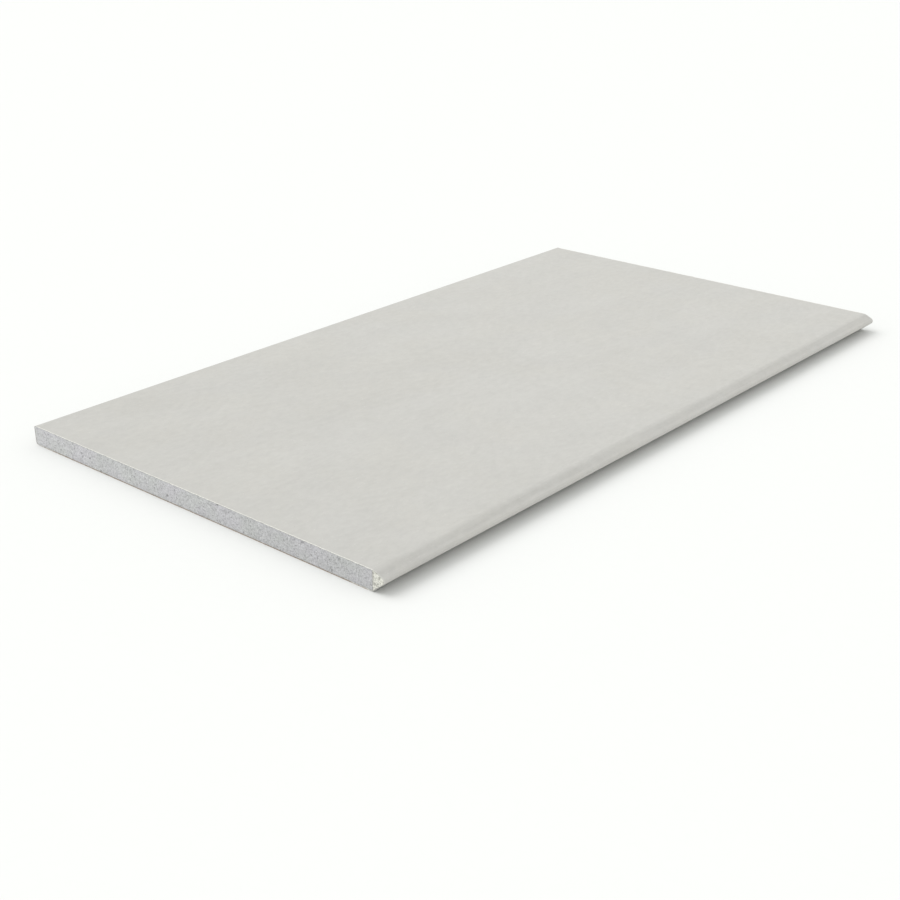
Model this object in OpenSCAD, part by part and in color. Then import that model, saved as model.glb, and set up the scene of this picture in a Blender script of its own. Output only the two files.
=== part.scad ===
// Drywall sheet: a 25 mm gypsum core board, cut to length.
// +X runs across the board to its nosed edge, +Y along its length, +Z from back to face.
// The origin lies on the floor, under the middle of the board.

/* [Board] */
// Width over both long edges
board_w = 600; // [400:25:1200]
// Length between the two cut ends
board_l = 1080; // [300:25:3000]
// Thickness from the back to the face
board_t = 25; // [22:0.5:32]

/* [Nosed edge] */
// Reach of the nose beyond the flat of the face
nose_reach = 13.5; // [10:0.5:20]
// Height of the middle of the nose above the back
nose_h = 16; // [11:0.5:17]
// Radius of the tip of the nose
nose_r = 4.5; // [2:0.25:4.5]
// Distance that the flat of the back ends short of the flat of the face
back_inset = 4; // [0:0.5:8]
// Radius of the rounding where the nose leaves the face
shoulder_r = 6; // [2:0.25:6]
// Radius of the rounding where the nose leaves the back
heel_r = 3; // [2:0.25:5]

/* [Square edge] */
// Radius of the arris between the square edge and the face
face_arris_r = 2; // [1:0.25:6]
// Radius of the arris between the square edge and the back
back_arris_r = 4.5; // [2:0.25:8]

/* [Paper] */
// Thickness of the face paper, which also wraps both long edges
face_paper_t = 0.5; // [0.3:0.05:0.8]
// Thickness of the back paper
back_paper_t = 0.5; // [0.3:0.05:0.8]
// Width of the face paper's flange, folded flat under each side of the back
flange_w = 30; // [15:1:50]
// Distance of the back paper's side from the corner of the back
back_margin = 6; // [2:0.5:12]

/* [Hidden] */

half_w = board_w / 2;
shoulder_x = half_w - nose_reach;
back_x = [back_arris_r - half_w, shoulder_x - back_inset];
flange_x = [back_x[0] + flange_w, back_x[1] - flange_w];
cover_x = [back_x[0] + back_margin, back_x[1] - back_margin];
face_top = board_t - face_paper_t;
wrap_z = back_paper_t;
arc_steps = 12;

// The section's round corners, anticlockwise from the back: [x, z, radius].
corners = [
    [back_x[0], wrap_z + back_arris_r, back_arris_r],
    [back_x[1], wrap_z + heel_r, heel_r],
    [half_w - nose_r, nose_h, nose_r],
    [shoulder_x, board_t - shoulder_r, shoulder_r],
    [face_arris_r - half_w, board_t - face_arris_r, face_arris_r]
];

function next(i) = (i + 1) % len(corners);
function last(i) = (i + len(corners) - 1) % len(corners);

// Angle of the outward normal on the straight side that leaves corner i.
function normal(i) =
    let (run = corners[next(i)] - corners[i], reach = norm([run[0], run[1]]))
    atan2(run[1], run[0]) - 90 + asin(run[2] / reach);

// Points round corner i, from the side that reaches it to the side that leaves it.
function arc(i, inset) =
    let (start = normal(last(i)), turn = (normal(i) - start + 360) % 360)
    [for (k = [0 : arc_steps]) on_corner(i, start + turn * k / arc_steps, inset)];

function on_corner(i, angle, inset) =
    let (r = corners[i][2] - inset)
    [corners[i][0] + r * cos(angle), corners[i][1] + r * sin(angle)];

// The section's outline, drawn in by inset all round.
module section(inset = 0) {
    polygon([for (i = [0 : len(corners) - 1]) each arc(i, inset)]);
}

module strip(x, z) {
    translate([x[0], z[0]]) square([x[1] - x[0], z[1] - z[0]]);
}

module along_board() {
    rotate([90, 0, 0]) linear_extrude(board_l, center = true) children();
}

// Set gypsum, filling the wrap and standing on the back paper between its flanges.
module gypsum_core() {
    color("lightsteelblue") along_board() {
        section(face_paper_t);
        strip(flange_x, [wrap_z, nose_h]);
    }
}

// One sheet of paper over the face and round both long edges to a flange under each.
module face_paper() {
    color("gainsboro") along_board() difference() {
        section();
        section(face_paper_t);
        strip(flange_x, [0, face_top]);
    }
}

// The back paper, glued over the two flanges.
module back_paper() {
    color("tan") along_board() strip(cover_x, [0, back_paper_t]);
}

gypsum_core();
face_paper();
back_paper();
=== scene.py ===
"""Looks of a gypsum core board: wrapped papers round a sawn, pitted core, on a pale studio floor."""

import math

import bpy
import numpy as np
from mathutils import Matrix, Vector, noise
from mathutils.geometry import delaunay_2d_cdt


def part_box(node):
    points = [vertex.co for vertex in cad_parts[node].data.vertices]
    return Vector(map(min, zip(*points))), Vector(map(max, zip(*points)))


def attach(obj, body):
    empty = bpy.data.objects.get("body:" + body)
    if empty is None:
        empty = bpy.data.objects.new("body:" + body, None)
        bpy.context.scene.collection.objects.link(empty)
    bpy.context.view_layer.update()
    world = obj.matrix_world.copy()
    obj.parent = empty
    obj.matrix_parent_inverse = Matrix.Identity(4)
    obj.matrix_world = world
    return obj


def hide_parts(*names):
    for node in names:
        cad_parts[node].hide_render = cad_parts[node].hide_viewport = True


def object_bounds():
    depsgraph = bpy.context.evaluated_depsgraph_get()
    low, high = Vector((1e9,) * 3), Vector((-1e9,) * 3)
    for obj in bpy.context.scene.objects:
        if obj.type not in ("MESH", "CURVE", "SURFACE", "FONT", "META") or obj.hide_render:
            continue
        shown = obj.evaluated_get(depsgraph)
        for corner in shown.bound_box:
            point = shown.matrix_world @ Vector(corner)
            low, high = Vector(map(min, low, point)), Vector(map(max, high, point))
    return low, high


bl_info = {
    "name": "Drywall Sheet",
    "version": (1, 0, 0),
    "blender": (4, 5, 0),
    "location": "View3D > Sidebar > Drywall",
    "description": "Builds the papers, the sawn core and the studio of a gypsum core board",
    "category": "Add Mesh",
}

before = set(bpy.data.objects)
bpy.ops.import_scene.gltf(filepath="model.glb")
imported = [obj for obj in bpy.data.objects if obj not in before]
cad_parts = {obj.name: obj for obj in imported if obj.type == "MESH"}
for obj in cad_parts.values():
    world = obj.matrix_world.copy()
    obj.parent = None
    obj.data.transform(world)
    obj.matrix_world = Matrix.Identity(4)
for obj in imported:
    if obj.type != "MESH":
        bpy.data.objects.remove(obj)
LOW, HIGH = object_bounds()
BODY = "root"
MM = 0.001
WELD = 1e-6
HALF_LENGTH = (HIGH.y - LOW.y) / 2
HEEL_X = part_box("back_paper")[1].x + 6.8 * MM  # where the dense gypsum of the nose begins
EASE = 4 * MM  # reach of the soft crease between the face and the nose


# ---------------------------------------------------------------- settings


class DRYWALL_PG_core(bpy.types.PropertyGroup):
    """Sizes and colours of the sawn gypsum core."""

    grain_pitch: bpy.props.FloatProperty(
        name="Grain pitch",
        description="Spacing of the points on a sawn end",
        default=0.75 * MM,
        min=0.5 * MM,
        unit="LENGTH",
        precision=5,
    )
    pits: bpy.props.IntProperty(
        name="Air pits",
        description="Number of opened air bubbles on each sawn end",
        default=1500,
        min=0,
    )
    edge_pits: bpy.props.IntProperty(
        name="Hard edge pits",
        description="Number of coarse pits in the hard edge of each sawn end",
        default=70,
        min=0,
    )
    grey: bpy.props.FloatVectorProperty(
        name="Gypsum",
        description="Colour of the foamed core",
        subtype="COLOR",
        default=(0.512, 0.511, 0.52),
        min=0,
        max=1,
    )
    cream: bpy.props.FloatVectorProperty(
        name="Hard edge",
        description="Colour of the dense gypsum inside the nose",
        subtype="COLOR",
        default=(0.74, 0.735, 0.675),
        min=0,
        max=1,
    )


class DRYWALL_PG_paper(bpy.types.PropertyGroup):
    """Sizes and colours of the face paper and the back paper."""

    fray: bpy.props.FloatProperty(
        name="Fray",
        description="How far the sawn rim of the paper wanders",
        default=0.3 * MM,
        min=0,
        unit="LENGTH",
        precision=5,
    )
    lift: bpy.props.FloatProperty(
        name="Lift",
        description="How far the face paper's sawn rim lifts off the core",
        default=0.35 * MM,
        min=0,
        unit="LENGTH",
        precision=5,
    )
    face: bpy.props.FloatVectorProperty(
        name="Face paper",
        description="Colour of the face paper",
        subtype="COLOR",
        default=(0.487, 0.481, 0.46),
        min=0,
        max=1,
    )
    back: bpy.props.FloatVectorProperty(
        name="Back paper",
        description="Colour of the back paper",
        subtype="COLOR",
        # Darker than the paper's own tan: partly painted shade along the board's bottom edge.
        default=(0.28, 0.2, 0.13),
        min=0,
        max=1,
    )


class DRYWALL_PG_stage(bpy.types.PropertyGroup):
    """Floor, lights and camera."""

    floor: bpy.props.FloatVectorProperty(
        name="Floor",
        description="Colour of the studio floor",
        subtype="COLOR",
        default=(0.758, 0.765, 0.756),
        min=0,
        max=1,
    )
    sky: bpy.props.FloatProperty(
        name="Sky",
        description="Strength of the even light from all round",
        default=0.985,
        min=0,
    )
    sun: bpy.props.FloatProperty(
        name="Sun",
        description="Strength of the soft light from the left",
        default=1.3,
        min=0,
    )
    azimuth: bpy.props.FloatProperty(
        name="Azimuth",
        description="Camera's turn round the board, from straight in front of the near end",
        subtype="ANGLE",
        default=math.radians(41.08),
    )
    elevation: bpy.props.FloatProperty(
        name="Elevation",
        description="How far the camera's axis is tilted down from level",
        subtype="ANGLE",
        default=math.radians(23.48),
    )
    roll: bpy.props.FloatProperty(
        name="Roll",
        description="Camera's tilt about its own axis",
        subtype="ANGLE",
        default=math.radians(-0.31),
    )
    stand: bpy.props.FloatVectorProperty(
        name="Stand",
        description="Camera's place, from the floor under the board's near nosed corner",
        subtype="XYZ",
        unit="LENGTH",
        default=(0.8754, -0.9031, 0.7058),
    )
    lens: bpy.props.FloatProperty(
        name="Lens",
        description="Focal length in millimetres",
        subtype="DISTANCE_CAMERA",
        default=57.21,
        min=1,
    )


# ---------------------------------------------------------------- shader maths


class Value:
    """A node's output socket, on which arithmetic adds Math nodes."""

    def __init__(self, finish, socket):
        self.finish = finish
        self.socket = socket

    def _math(self, operation, *values):
        inputs = dict(enumerate(values))
        return self.finish.node("ShaderNodeMath", {"operation": operation}, inputs)

    def __add__(self, other):
        return self._math("ADD", self, other)

    def __sub__(self, other):
        return self._math("SUBTRACT", self, other)

    def __rsub__(self, other):
        return self._math("SUBTRACT", other, self)

    def __mul__(self, other):
        return self._math("MULTIPLY", self, other)

    def __abs__(self):
        return self._math("ABSOLUTE", self)

    __radd__ = __add__
    __rmul__ = __mul__

    def smooth(self, low, high):
        """0 below low, 1 above high, and a smooth step between them. It falls where low is above high."""
        return self.finish.node(
            "ShaderNodeMapRange",
            {"interpolation_type": "SMOOTHSTEP"},
            {"Value": self, "From Min": low, "From Max": high},
        )


class Finish:
    """A material under construction: node() adds a node, and the rest are short forms of it."""

    def __init__(self, name):
        self.material = bpy.data.materials.new(name)
        self.material.use_nodes = True
        self.tree = self.material.node_tree
        self.tree.nodes.clear()
        self.place = self.node("ShaderNodeTexCoord", output="Object")

    def node(self, kind, settings=None, inputs=None, output=0):
        made = self.tree.nodes.new(kind)
        for name, value in (settings or {}).items():
            setattr(made, name, value)
        for name, value in (inputs or {}).items():
            if isinstance(value, Value):
                self.tree.links.new(value.socket, made.inputs[name])
            else:
                made.inputs[name].default_value = value
        return Value(self, made.outputs[output]) if made.outputs else made

    def axis(self, name):
        return self.node("ShaderNodeSeparateXYZ", inputs={0: self.place}, output=name)

    def stretched(self, x, y, z):
        """The place in the board's frame, scaled by x, y and z."""
        return self.node(
            "ShaderNodeVectorMath", {"operation": "MULTIPLY"}, {0: self.place, 1: (x, y, z)}
        )

    def noise(self, scale, detail=2.0, roughness=0.5, place=None):
        return self.node(
            "ShaderNodeTexNoise",
            {"noise_dimensions": "3D"},
            {
                "Vector": place or self.place,
                "Scale": scale,
                "Detail": detail,
                "Roughness": roughness,
            },
        )

    def mix(self, mask, a, b):
        """Colour a where the mask is 0, and colour b where it is 1."""
        return self.node(
            "ShaderNodeMix", {"data_type": "RGBA"}, {0: mask, 6: colour(a), 7: colour(b)}, 2
        )

    def shade(self, base, amount):
        """A colour made lighter or darker by a factor round 1."""
        return self.node(
            "ShaderNodeVectorMath", {"operation": "SCALE"}, {0: vector(base), "Scale": amount}
        )

    def finish(self, base, roughness, height, depth, specular=0.3):
        """Ends the material in a plain surface shader with a bump of that depth."""
        bump = self.node(
            "ShaderNodeBump", inputs={"Strength": 1.0, "Distance": depth, "Height": height},
            output="Normal",
        )
        shader = self.node(
            "ShaderNodeBsdfPrincipled",
            inputs={
                "Base Color": base,
                "Roughness": roughness,
                "Specular IOR Level": specular,
                "Normal": bump,
            },
        )
        self.node("ShaderNodeOutputMaterial", inputs={"Surface": shader})
        return self.material


def colour(value):
    return value if isinstance(value, Value) else (*value[:3], 1.0)


def vector(value):
    return value if isinstance(value, Value) else tuple(value[:3])


# ---------------------------------------------------------------- finishes


def face_paper_finish(paper):
    """Pale grey liner paper: cloudy pulp, laid fibres and recycled flecks, a sawn rim partly torn white
    and partly painted highlight, painted shade on the long edges, painted light at the nose's tip and a
    painted falloff of light along the board.
    """
    make = Finish("face_paper_finish")
    across = make.axis("X")
    along = make.axis("Y")
    tint = make.noise(11, 3, 0.55).smooth(0.36, 0.64)
    warm = [paper.face[0] * 1.002, paper.face[1] * 0.999, paper.face[2] * 0.99]
    cool = [paper.face[0] * 1.0, paper.face[1] * 1.0, paper.face[2] * 1.0]
    base = make.mix(tint, warm, cool)
    laid = make.stretched(1, 0.55, 1)
    cloud = make.noise(15, 7, 0.7, laid)
    pulp = make.noise(125, 4, 0.75, laid)
    fibre = make.noise(1, 3, 0.6, make.stretched(900, 190, 900))
    # Painted light falloff: the face grows lighter towards the far end.
    painted_falloff_light = along.smooth(-0.7, 0.3)
    level = 0.766 + 0.03 * painted_falloff_light + 0.16 * cloud + 0.21 * pulp + 0.05 * fibre
    base = make.shade(base, level)
    fleck = make.noise(620, 1, 0.5).smooth(0.73, 0.8)
    base = make.mix(0.3 * fleck, base, (0.24, 0.23, 0.21))
    smudge = make.noise(210, 2, 0.5).smooth(0.66, 0.76)
    base = make.mix(0.1 * smudge, base, (0.33, 0.31, 0.28))
    fluff = make.noise(540, 1, 0.5, make.stretched(1, 0.6, 1)).smooth(0.7, 0.8)
    base = make.mix(0.25 * fluff, base, (0.72, 0.71, 0.68))
    # Along both long edges the paper is streaked along the length and darker: the darkening is partly the
    # paper's own tone, partly painted shade of the bevel.
    streak = make.noise(1, 3, 0.6, make.stretched(420, 7, 420))
    edge = abs(across + 8 * MM).smooth(0.289, 0.293)
    base = make.shade(base, 1 + edge * (0.14 * streak - 0.1))
    # Painted light: the paper is lighter at the nose's tip, standing in for bounce light from below.
    painted_tip_light = across.smooth(0.2965, 0.2995)
    base = make.shade(base, 1 + 0.15 * painted_tip_light)
    # Along both sawn ends the face paper is lighter in a thin rim: partly torn white fibres, partly a
    # painted highlight where the raised rim catches the light; weaker over the nose.
    torn_fibre_and_highlight = make.noise(240, 3, 0.6, make.stretched(1, 0, 1)).smooth(0.38, 0.6)
    flat = abs(across + 5 * MM).smooth(0.291, 0.288)
    rim = abs(along).smooth(HALF_LENGTH - 1.5 * MM, HALF_LENGTH - 0.5 * MM)
    base = make.mix(rim * (0.2 + flat * (0.2 + 0.45 * torn_fibre_and_highlight)), base, (0.74, 0.735, 0.69))
    height = 0.5 * fibre + 0.3 * pulp + 0.25 * streak * edge
    return make.finish(base, 0.82, height, 0.12 * MM)


def gypsum_finish(core):
    """Foamed gypsum, grey and granular, with dense cream gypsum inside the nose, painted shade growing
    towards the nosed side, and dust and painted shade in the pits.
    """
    make = Finish("gypsum_finish")
    across = make.axis("X")
    tint = make.noise(26, 3, 0.5).smooth(0.32, 0.68)
    lilac = [core.grey[0] * 1.015, core.grey[1] * 1.005, core.grey[2] * 1.025]
    green = [core.grey[0] * 0.985, core.grey[1] * 1.0, core.grey[2] * 0.975]
    grey = make.mix(tint, green, lilac)
    cloud = make.noise(60, 3, 0.6)
    grain = make.noise(380, 3, 0.7)
    speck = make.noise(850, 1, 0.5)
    # Painted shade falloff: the sawn end grows darker towards the nosed side (+X).
    painted_falloff_shade = across.smooth(-0.35, 0.35)
    level = 0.27 - 0.12 * painted_falloff_shade + 0.14 * cloud + 0.9 * grain + 0.56 * speck
    grey = make.shade(grey, level)
    dark = make.noise(470, 1, 0.4).smooth(0.64, 0.74)
    grey = make.mix(0.4 * dark, grey, (0.25, 0.26, 0.28))
    pale = make.noise(520, 1, 0.4, make.stretched(1, 1, 0.8)).smooth(0.66, 0.75)
    grey = make.mix(0.45 * pale, grey, (0.78, 0.79, 0.79))
    curd = make.noise(420, 2, 0.6)
    cream = make.shade(core.cream, 0.75 + 0.5 * curd)
    nose = (across + 0.6 * MM * make.noise(300, 1)).smooth(HEEL_X + 0.1 * MM, HEEL_X + 0.5 * MM)
    base = make.mix(nose, grey, cream)
    # Dust and painted shade in the pits and heel groove, and a painted shadow line under the paper's rim,
    # darken the colour.
    pit = make.node("ShaderNodeAttribute", {"attribute_name": "pit"}, output="Fac")
    base = make.mix(0.5 * pit, base, (0.16, 0.155, 0.15))
    return make.finish(base, 0.9, 0.6 * grain + 0.4 * speck, 0.25 * MM)


def back_paper_finish(paper):
    """Tan kraft-like back paper with coarse fibres, its colour darkened in part as painted shade along
    the board's bottom edge.
    """
    make = Finish("back_paper_finish")
    blotch = make.noise(14, 3, 0.5)
    fibre = make.noise(1, 3, 0.6, make.stretched(700, 120, 700))
    base = make.shade(paper.back, 0.75 + 0.2 * blotch + 0.3 * fibre)
    fleck = make.noise(480, 1, 0.5).smooth(0.7, 0.78)
    base = make.mix(0.4 * fleck, base, (0.62, 0.55, 0.44))
    return make.finish(base, 0.88, fibre, 0.12 * MM)


def floor_finish(stage):
    """Matt seamless paper, with a barely seen tooth."""
    make = Finish("floor_finish")
    tooth = make.noise(90, 2, 0.5)
    base = make.shade(stage.floor, 0.995 + 0.01 * tooth)
    return make.finish(base, 0.9, tooth, 0.02 * MM, specular=0.1)


# ---------------------------------------------------------------- section and meshes


def section_of(node):
    """Outline of a CAD node's near end: (x, z) points, anticlockwise with +X to the right."""
    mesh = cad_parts[node].data
    near = min(v.co.y for v in mesh.vertices)
    place = [(round(v.co.x / WELD), round(v.co.z / WELD)) for v in mesh.vertices]
    after = {}
    for face in mesh.polygons:
        if any(mesh.vertices[i].co.y > near + WELD for i in face.vertices):
            continue
        ring = [place[i] for i in face.vertices]
        for a, b in zip(ring, ring[1:] + ring[:1]):
            if after.get(b) and a in after[b]:
                after[b].remove(a)
            else:
                after.setdefault(a, []).append(b)
    start = at = min(p for p in after if after[p])
    loop = []
    while not loop or at != start:
        loop.append(at)
        at = after[at].pop()
    return np.array(loop, float) * WELD


def divide(path, spacing, narrow=None):
    """The path with points added so that they lie no further apart than spacing.

    Where narrow is given, it is the spacing on all but the longest runs.
    """
    made = [path[0]]
    for a, b in zip(path[:-1], path[1:]):
        length = np.linalg.norm(b - a)
        limit = spacing if narrow is None or length > 100 * MM else narrow
        steps = max(1, math.ceil(length / limit - WELD))
        made += [a + (b - a) * k / steps for k in range(1, steps + 1)]
    return np.array(made)


def ease_crease(path):
    """The path with the crease between the face and the nose drawn as a wide, soft curve."""
    top = path[:, 1].max()
    turn = max(p[0] for p in path if p[1] > top - WELD)
    near = np.flatnonzero((np.abs(path[:, 0] - turn) < EASE) & (path[:, 1] > top - EASE))
    a, b = path[near[0]], path[near[-1]]
    slope = (path[near[0] - 1] - a)[1] / (path[near[0] - 1] - a)[0]
    crease = np.array([a[0] + (top - a[1]) / slope, top])
    share = np.linspace(0, 1, len(near))[:, None]
    path[near] = (1 - share) ** 2 * a + 2 * share * (1 - share) * crease + share**2 * b
    return path


def ripple(place, scale, seed):
    """Smooth noise from -1 to 1 at each (x, z) place."""
    return np.array([noise.noise(Vector((p[0] * scale, p[1] * scale, seed))) for p in place])


def nearest(points, path):
    """For each (x, z) point, the nearest place on a path."""
    best = np.full(len(points), np.inf)
    found = np.zeros((len(points), 2))
    for a, b in zip(path[:-1], path[1:]):
        run = b - a
        share = np.clip(((points - a) @ run) / (run @ run), 0, 1)
        place = a + share[:, None] * run
        away = np.linalg.norm(points - place, axis=1)
        found[away < best] = place[away < best]
        best = np.minimum(best, away)
    return found


def within(points, loop):
    """Whether each point lies inside a closed loop of (x, z) points."""
    inside = np.zeros(len(points), bool)
    for a, b in zip(loop, np.roll(loop, -1, axis=0)):
        if a[1] != b[1]:
            cross = a[0] + (points[:, 1] - a[1]) * (b - a)[0] / (b - a)[1]
            spans = (points[:, 1] >= a[1]) != (points[:, 1] >= b[1])
            inside ^= spans & (points[:, 0] < cross)
    return inside


class SawnEnd:
    """The points and triangles of a sawn end, with its relief."""

    def __init__(self, rim, pitch, seed):
        rng = np.random.default_rng(seed)
        self.rng = rng
        self.seed = seed
        self.rim = rim
        low, high = rim.min(0), rim.max(0)
        xs, zs = np.arange(low[0], high[0], pitch), np.arange(low[1], high[1], pitch)
        grid = np.stack(np.meshgrid(xs, zs), -1).reshape(-1, 2)
        grid += rng.uniform(-0.3, 0.3, grid.shape) * pitch
        closed = np.vstack([rim, rim[:1]])
        depth = np.linalg.norm(grid - nearest(grid, closed), axis=1)
        keep = within(grid, rim) & (depth > 0.6 * pitch)
        points = np.vstack([rim, grid[keep]])
        self.inset = np.concatenate([np.zeros(len(rim)), depth[keep]])
        edges = [(i, (i + 1) % len(rim)) for i in range(len(rim))]
        found = delaunay_2d_cdt([Vector(p) for p in points], edges, [], 1, WELD)
        if len(found[0]) != len(points):
            raise RuntimeError("the sawn end's points were merged")
        self.points = np.array(found[0])
        self.triangles = [tuple(t) for t in found[2]]

    def relief(self, core):
        """Depth below the sawn plane, and a darkening mask from 0 to 1: dust and painted shade in the
        pits and the heel groove, and a painted shadow line under the paper's rim.
        """
        points, rng = self.points, self.rng
        low, high = self.rim.min(0), self.rim.max(0)
        pit = np.zeros(len(points))
        depth = np.zeros(len(points))
        count = core.pits + core.edge_pits
        x = rng.uniform(low[0], high[0], count)
        x[core.pits :] = rng.uniform(HEEL_X, high[0], core.edge_pits)
        z = rng.uniform(low[1], high[1], count)
        radius = 0.35 * MM * rng.lognormal(0, 0.45, count)
        radius[core.pits :] *= 1.7
        for cx, cz, r in zip(x, z, np.maximum(radius, 0.8 * core.grain_pitch)):
            away = ((points[:, 0] - cx) ** 2 + (points[:, 1] - cz) ** 2) / r**2
            bowl = np.sqrt(np.clip(1 - away, 0, 1))
            pit = np.maximum(pit, bowl)
            depth = np.maximum(depth, 0.9 * r * bowl)
        nose = points[:, 0] > HEEL_X + 0.3 * MM
        coarse = ripple(points, 420, self.seed)
        fine = ripple(points, 1100, self.seed + 5)
        depth += MM * np.where(nose, 0.25 + 0.3 * coarse, 0.12 + 0.1 * coarse) + 0.08 * MM * fine
        # A groove at the heel: a recess in depth, and darkened with painted shade through the mask.
        groove = np.exp(-(((points[:, 0] - HEEL_X - 0.2 * MM) / (0.45 * MM)) ** 2))
        depth += 0.7 * MM * groove
        # Next to the rim the core sits shy of the paper; the mask paints a shadow line there.
        shy_rim_and_shadow_line = np.exp(-self.inset / (0.5 * MM)) * np.clip(0.7 + coarse, 0, 1)
        depth += 0.45 * MM * shy_rim_and_shadow_line
        depth = np.clip(depth, 0, 1.6 * MM)
        depth[: len(self.rim)] = 0.3 * MM
        return depth, np.clip(pit + 0.9 * groove + 0.45 * shy_rim_and_shadow_line, 0, 1)


def core_mesh(core):
    """The core: two sawn ends in relief, joined by its long sides."""
    outline = section_of("gypsum_core")
    rim = ease_crease(divide(np.vstack([outline, outline[:1]]), 1.2 * core.grain_pitch)[:-1])
    spots, faces, pits, starts = [], [], [], []
    for seed, end, inward in ((11, LOW.y, 1), (23, HIGH.y, -1)):
        cut = SawnEnd(rim, core.grain_pitch, seed)
        depth, pit = cut.relief(core)
        start = sum(len(s) for s in spots)
        starts.append(start)
        y = end + inward * depth
        spots.append(np.stack([cut.points[:, 0], y, cut.points[:, 1]], -1))
        pits.append(pit)
        turn = 1 if inward > 0 else -1
        faces += [tuple(start + i for i in t[::turn]) for t in cut.triangles]
    near, far = starts
    count = len(rim)
    for i in range(count):
        j = (i + 1) % count
        faces.append((near + i, far + i, far + j, near + j))
    mesh = bpy.data.meshes.new("gypsum_core_sawn")
    mesh.from_pydata(np.vstack(spots).tolist(), [], faces)
    # The pit attribute is the darkening mask: dust and painted shade in pits and groove, and a painted
    # shadow under the paper's rim.
    shade = mesh.attributes.new("pit", "FLOAT", "POINT")
    shade.data.foreach_set("value", np.concatenate(pits).astype(np.float32))
    return mesh


def row_places():
    """Places along the board, close together near both ends."""
    steps = [0, 0.4, 0.8, 1.3, 2, 3, 4.5, 7, 11, 17, 26, 40]
    near = [LOW.y + s * MM for s in steps]
    far = [HIGH.y - s * MM for s in steps]
    middle = np.linspace(near[-1], far[-1], 42)
    return np.array([*near[:-1], *middle, *far[-2::-1]])


def paper_mesh(name, outer, inner, paper, lift, seed):
    """A sheet of paper between two paths of (x, z) points, with a sawn, frayed rim at each end."""
    rows = row_places()
    out = (outer - inner) / np.linalg.norm(outer - inner, axis=1)[:, None]
    travel = np.concatenate([[0], np.cumsum(np.linalg.norm(np.diff(outer, axis=0), axis=1))])
    flat = np.abs(out[:, 1]) > 0.999
    outside, inside = [], []
    for y in rows:
        gap = min(y - LOW.y, HIGH.y - y)
        side = -1 if y < 0 else 1
        marks = np.stack([travel, np.full(len(travel), side * 3.0)], -1)
        wave = np.clip(0.6 + 1.2 * ripple(marks, 120, seed), 0, 1.4)
        raised = lift * wave * math.exp(-gap / (2.2 * MM))
        ragged = paper.fray * ripple(marks, 700, seed + 3) * math.exp(-gap / (0.9 * MM))
        creases = np.stack([travel * 800, np.full(len(travel), y * 5)], -1)
        crease = np.where(flat, 0, 0.05 * MM) * ripple(creases, 1, seed + 7)
        for path, extra, lines in ((outer, crease, outside), (inner, 0, inside)):
            moved = path + out * (raised + extra)[:, None]
            lines.append(np.stack([moved[:, 0], y + side * ragged, moved[:, 1]], -1))
    count, wide = len(rows), len(outer)
    vertices = np.vstack(outside + inside)
    under = count * wide

    def at(j, k):
        return j * wide + k

    faces = []
    for j in range(count - 1):
        for k in range(wide - 1):
            a, b, c, d = at(j, k), at(j + 1, k), at(j + 1, k + 1), at(j, k + 1)
            faces.append((a, b, c, d))
            faces.append((under + d, under + c, under + b, under + a))
        first, last = at(j, 0), at(j, wide - 1)
        faces.append((first, under + first, under + first + wide, first + wide))
        faces.append((last, last + wide, under + last + wide, under + last))
    for k in range(wide - 1):
        a, b = at(0, k), at(0, k + 1)
        faces.append((a, b, under + b, under + a))
        a, b = at(count - 1, k), at(count - 1, k + 1)
        faces.append((b, a, under + a, under + b))
    mesh = bpy.data.meshes.new(name)
    mesh.from_pydata(vertices.tolist(), [], faces)
    return mesh


def wrap_paths():
    """Outer and inner path of the face paper, from the flange under the nose to the other one."""
    loop = section_of("face_paper")
    low = loop[:, 1].min()
    bottom = [i for i, p in enumerate(loop) if abs(p[1] - low) < 2 * WELD]
    first = min((i for i in bottom if loop[i][0] > 0), key=lambda i: loop[i][0])
    last = max((i for i in bottom if loop[i][0] < 0), key=lambda i: loop[i][0])
    loop = np.roll(loop, -first, axis=0)
    cut = (last - first) % len(loop) + 1
    outer = ease_crease(divide(loop[:cut], 2 * MM, 1 * MM))
    inner = ease_crease(divide(loop[cut:][::-1], 1 * MM))
    return outer, nearest(outer, inner)


def add_piece(name, mesh, material, node, smooth=math.radians(35)):
    """Puts a mesh in the scene as the piece that stands for a CAD node."""
    mesh.validate()
    mesh.update()
    piece = bpy.data.objects.new(name, mesh)
    bpy.context.scene.collection.objects.link(piece)
    mesh.shade_smooth()
    mesh.set_sharp_from_angle(angle=smooth)
    mesh.materials.append(material)
    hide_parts(node)
    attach(piece, BODY)
    return piece


# ---------------------------------------------------------------- operators


class DRYWALL_OT_core(bpy.types.Operator):
    """Build the gypsum core with its two sawn ends"""

    bl_idname = "drywall.core"
    bl_label = "Gypsum Core"

    def execute(self, context):
        core = context.scene.drywall_core
        add_piece("gypsum_core_sawn", core_mesh(core), gypsum_finish(core), "gypsum_core")
        return {"FINISHED"}


class DRYWALL_OT_face_paper(bpy.types.Operator):
    """Build the face paper, wrapped round both long edges"""

    bl_idname = "drywall.face_paper"
    bl_label = "Face Paper"

    def execute(self, context):
        paper = context.scene.drywall_paper
        outer, inner = wrap_paths()
        mesh = paper_mesh("face_paper_wrap", outer, inner, paper, paper.lift, 2.0)
        add_piece("face_paper_wrap", mesh, face_paper_finish(paper), "face_paper")
        return {"FINISHED"}


class DRYWALL_OT_back_paper(bpy.types.Operator):
    """Build the back paper, glued over the flanges"""

    bl_idname = "drywall.back_paper"
    bl_label = "Back Paper"

    def execute(self, context):
        paper = context.scene.drywall_paper
        low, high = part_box("back_paper")
        outer = divide(np.array([(low.x, low.z), (high.x, low.z)]), 2 * MM)
        inner = outer + (0, high.z - low.z)
        mesh = paper_mesh("back_paper_sheet", outer, inner, paper, 0, 9.0)
        add_piece("back_paper_sheet", mesh, back_paper_finish(paper), "back_paper")
        return {"FINISHED"}


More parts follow.
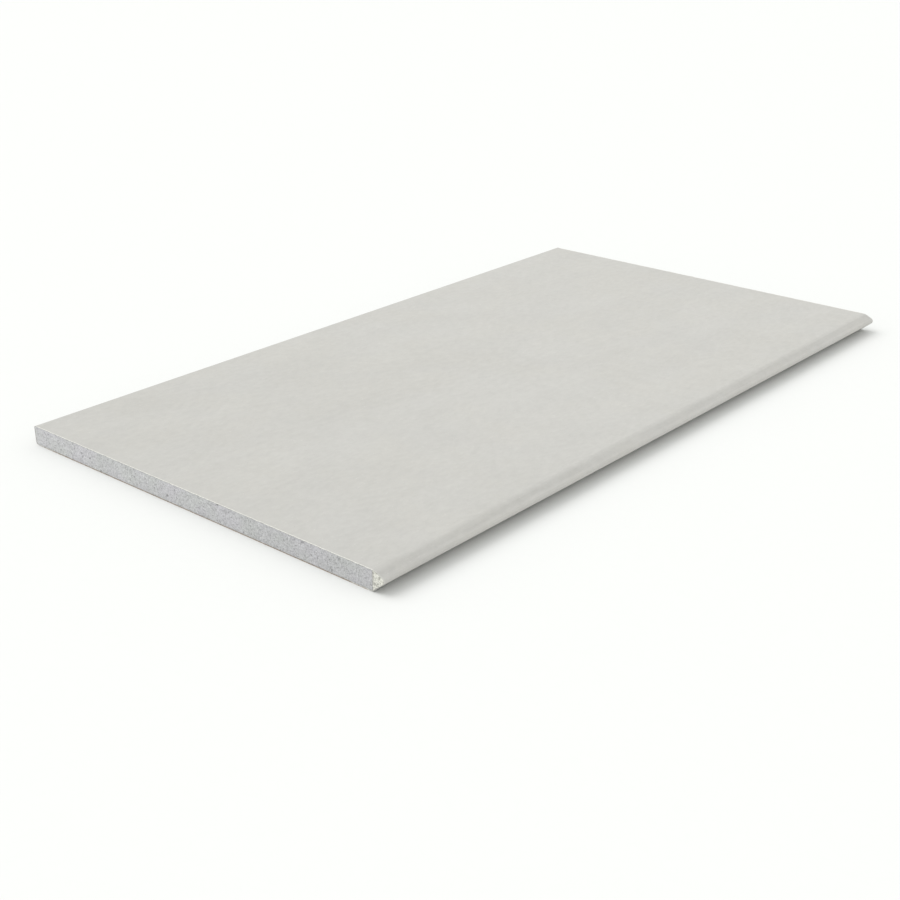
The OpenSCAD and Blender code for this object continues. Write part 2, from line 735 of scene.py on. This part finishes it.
class DRYWALL_OT_stage(bpy.types.Operator):
    """Build the floor, the soft lights and the camera"""

    bl_idname = "drywall.stage"
    bl_label = "Studio"

    def execute(self, context):
        stage = context.scene.drywall_stage
        self.floor(context, stage)
        self.lights(context, stage)
        self.camera(context, stage)
        context.scene.view_settings.view_transform = "Standard"
        return {"FINISHED"}

    def floor(self, context, stage):
        reach = 8.0
        drop = LOW.z - 0.1 * MM
        corners = [(-reach, -reach), (reach, -reach), (reach, reach), (-reach, reach)]
        mesh = bpy.data.meshes.new("studio_floor")
        mesh.from_pydata([(x, y, drop) for x, y in corners], [], [(0, 1, 2, 3)])
        mesh.materials.append(floor_finish(stage))
        floor = bpy.data.objects.new("studio_floor", mesh)
        context.scene.collection.objects.link(floor)

    def lights(self, context, stage):
        world = bpy.data.worlds.new("studio_sky")
        world.use_nodes = True
        sky = world.node_tree.nodes["Background"]
        sky.inputs["Color"].default_value = (0.995, 1.0, 0.985, 1.0)
        sky.inputs["Strength"].default_value = stage.sky
        context.scene.world = world
        lamp = bpy.data.lights.new("soft_sun", "SUN")
        lamp.energy = stage.sun
        lamp.angle = math.radians(50)
        sun = bpy.data.objects.new("soft_sun", lamp)
        toward = Vector((-0.75, -0.25, 1.0))
        sun.rotation_euler = toward.to_track_quat("Z", "Y").to_euler()
        context.scene.collection.objects.link(sun)

    def camera(self, context, stage):
        data = bpy.data.cameras.new("camera")
        data.lens = stage.lens
        camera = bpy.data.objects.new("camera", data)
        level = math.cos(stage.elevation)
        back = Vector(
            (
                math.sin(stage.azimuth) * level,
                -math.cos(stage.azimuth) * level,
                math.sin(stage.elevation),
            )
        )
        right = Vector((0, 0, 1)).cross(back).normalized()
        up = back.cross(right)
        turned = Matrix((right, up, back)).transposed() @ Matrix.Rotation(stage.roll, 3, "Z")
        place = Vector((HIGH.x, LOW.y, LOW.z)) + Vector(stage.stand)
        camera.matrix_world = Matrix.Translation(place) @ turned.to_4x4()
        context.scene.collection.objects.link(camera)
        context.scene.camera = camera


class DRYWALL_PT_panel(bpy.types.Panel):
    """Lists the board's pieces, in the order in which they are built"""

    bl_label = "Drywall Sheet"
    bl_space_type = "VIEW_3D"
    bl_region_type = "UI"
    bl_category = "Drywall"

    def draw(self, context):
        for group, operators in LAYOUT.items():
            box = self.layout.box()
            settings = getattr(context.scene, group)
            for name in settings.__annotations__:
                box.prop(settings, name)
            for operator in operators:
                box.operator(operator.bl_idname)


LAYOUT = {
    "drywall_core": (DRYWALL_OT_core,),
    "drywall_paper": (DRYWALL_OT_face_paper, DRYWALL_OT_back_paper),
    "drywall_stage": (DRYWALL_OT_stage,),
}
GROUPS = {
    "drywall_core": DRYWALL_PG_core,
    "drywall_paper": DRYWALL_PG_paper,
    "drywall_stage": DRYWALL_PG_stage,
}
OPERATORS = [operator for operators in LAYOUT.values() for operator in operators]
CLASSES = [*GROUPS.values(), *OPERATORS, DRYWALL_PT_panel]


def register():
    for cls in CLASSES:
        bpy.utils.register_class(cls)
    for name, group in GROUPS.items():
        setattr(bpy.types.Scene, name, bpy.props.PointerProperty(type=group))


def unregister():
    for name in GROUPS:
        delattr(bpy.types.Scene, name)
    for cls in reversed(CLASSES):
        bpy.utils.unregister_class(cls)


def main():
    register()
    bpy.ops.drywall.core()
    bpy.ops.drywall.face_paper()
    bpy.ops.drywall.back_paper()
    bpy.ops.drywall.stage()


if __name__ == "__main__":
    main()
